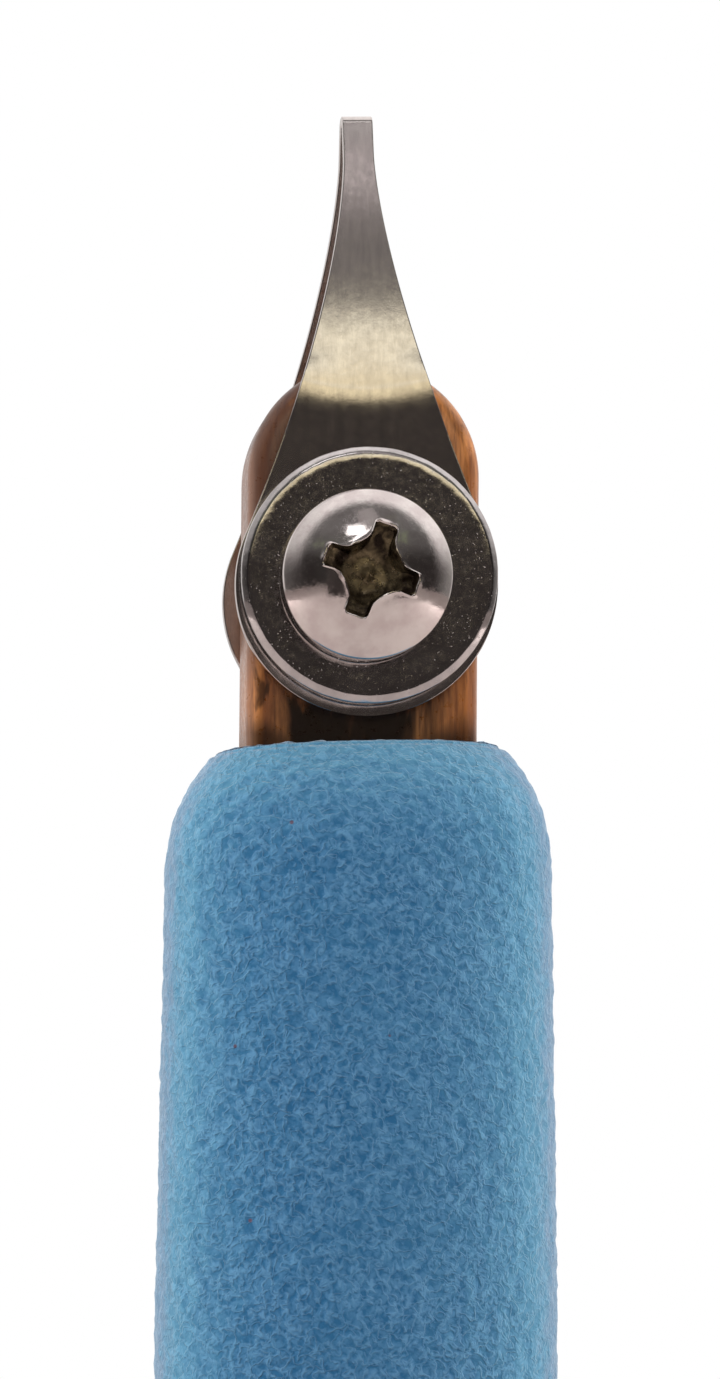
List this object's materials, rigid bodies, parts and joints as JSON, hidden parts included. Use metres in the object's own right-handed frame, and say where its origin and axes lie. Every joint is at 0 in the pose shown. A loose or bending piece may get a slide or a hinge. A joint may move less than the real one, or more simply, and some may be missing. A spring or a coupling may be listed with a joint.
{
  "type": "lino cutter",
  "caption": "Hand cutter with a folded ribbon loop blade clamped by a screw across the head of a flat wooden core, held in an oval foam sleeve.",
  "frame": {"origin": "centre of the butt's flat end face", "axes": "+Z along the tool towards the blade's tip, -Y out of the screw head's side, +X across the flat of the core"},
  "size_m": [0.0226, 0.0162, 0.1499],
  "materials": {
    "foam": "matte",
    "lacquered_wood": "satin",
    "blade_steel": "satin",
    "washer_steel": "satin",
    "screw_steel": "gloss",
    "spring_steel": "satin"
  },
  "bodies": {
    "handle": {"core_stick": "lacquered_wood", "foam_grip": "foam"},
    "blade": {"ribbon_blade": "blade_steel"},
    "front_stack": {"front_washer": "washer_steel"},
    "screw": {"clamp_screw": "screw_steel"},
    "back_stack": {"back_washer": "washer_steel", "spring_washer": "spring_steel"},
    "nut": {"hex_nut": "screw_steel"}
  },
  "joints": [
    {"name": "blade_swing", "type": "hinge", "parent": "handle", "child": "blade", "pos_m": [-0.00035, 0, 0.123], "axis": [0, -1, 0], "range_deg": [-100, 100]},
    {"name": "screw_advance", "type": "slide", "parent": "handle", "child": "front_stack", "axis": [0, -1, 0], "range_m": [0, 0.01191]},
    {"name": "screw_turn", "type": "hinge", "parent": "front_stack", "child": "screw", "pos_m": [-0.00035, 0, 0.123], "axis": [0, -1, 0], "range_deg": [0, 5401]},
    {"name": "nut_advance", "type": "slide", "parent": "handle", "child": "back_stack", "axis": [0, 1, 0], "range_m": [0, 0.00635]},
    {"name": "nut_turn", "type": "hinge", "parent": "back_stack", "child": "nut", "pos_m": [-0.00035, 0, 0.123], "axis": [0, 1, 0], "range_deg": [0, 2881]}
  ],
  "couplings": [
    {"joint": "screw_turn", "follows": "screw_advance", "rad_per_m": 7913.3},
    {"joint": "nut_turn", "follows": "nut_advance", "rad_per_m": 7913.3}
  ]
}
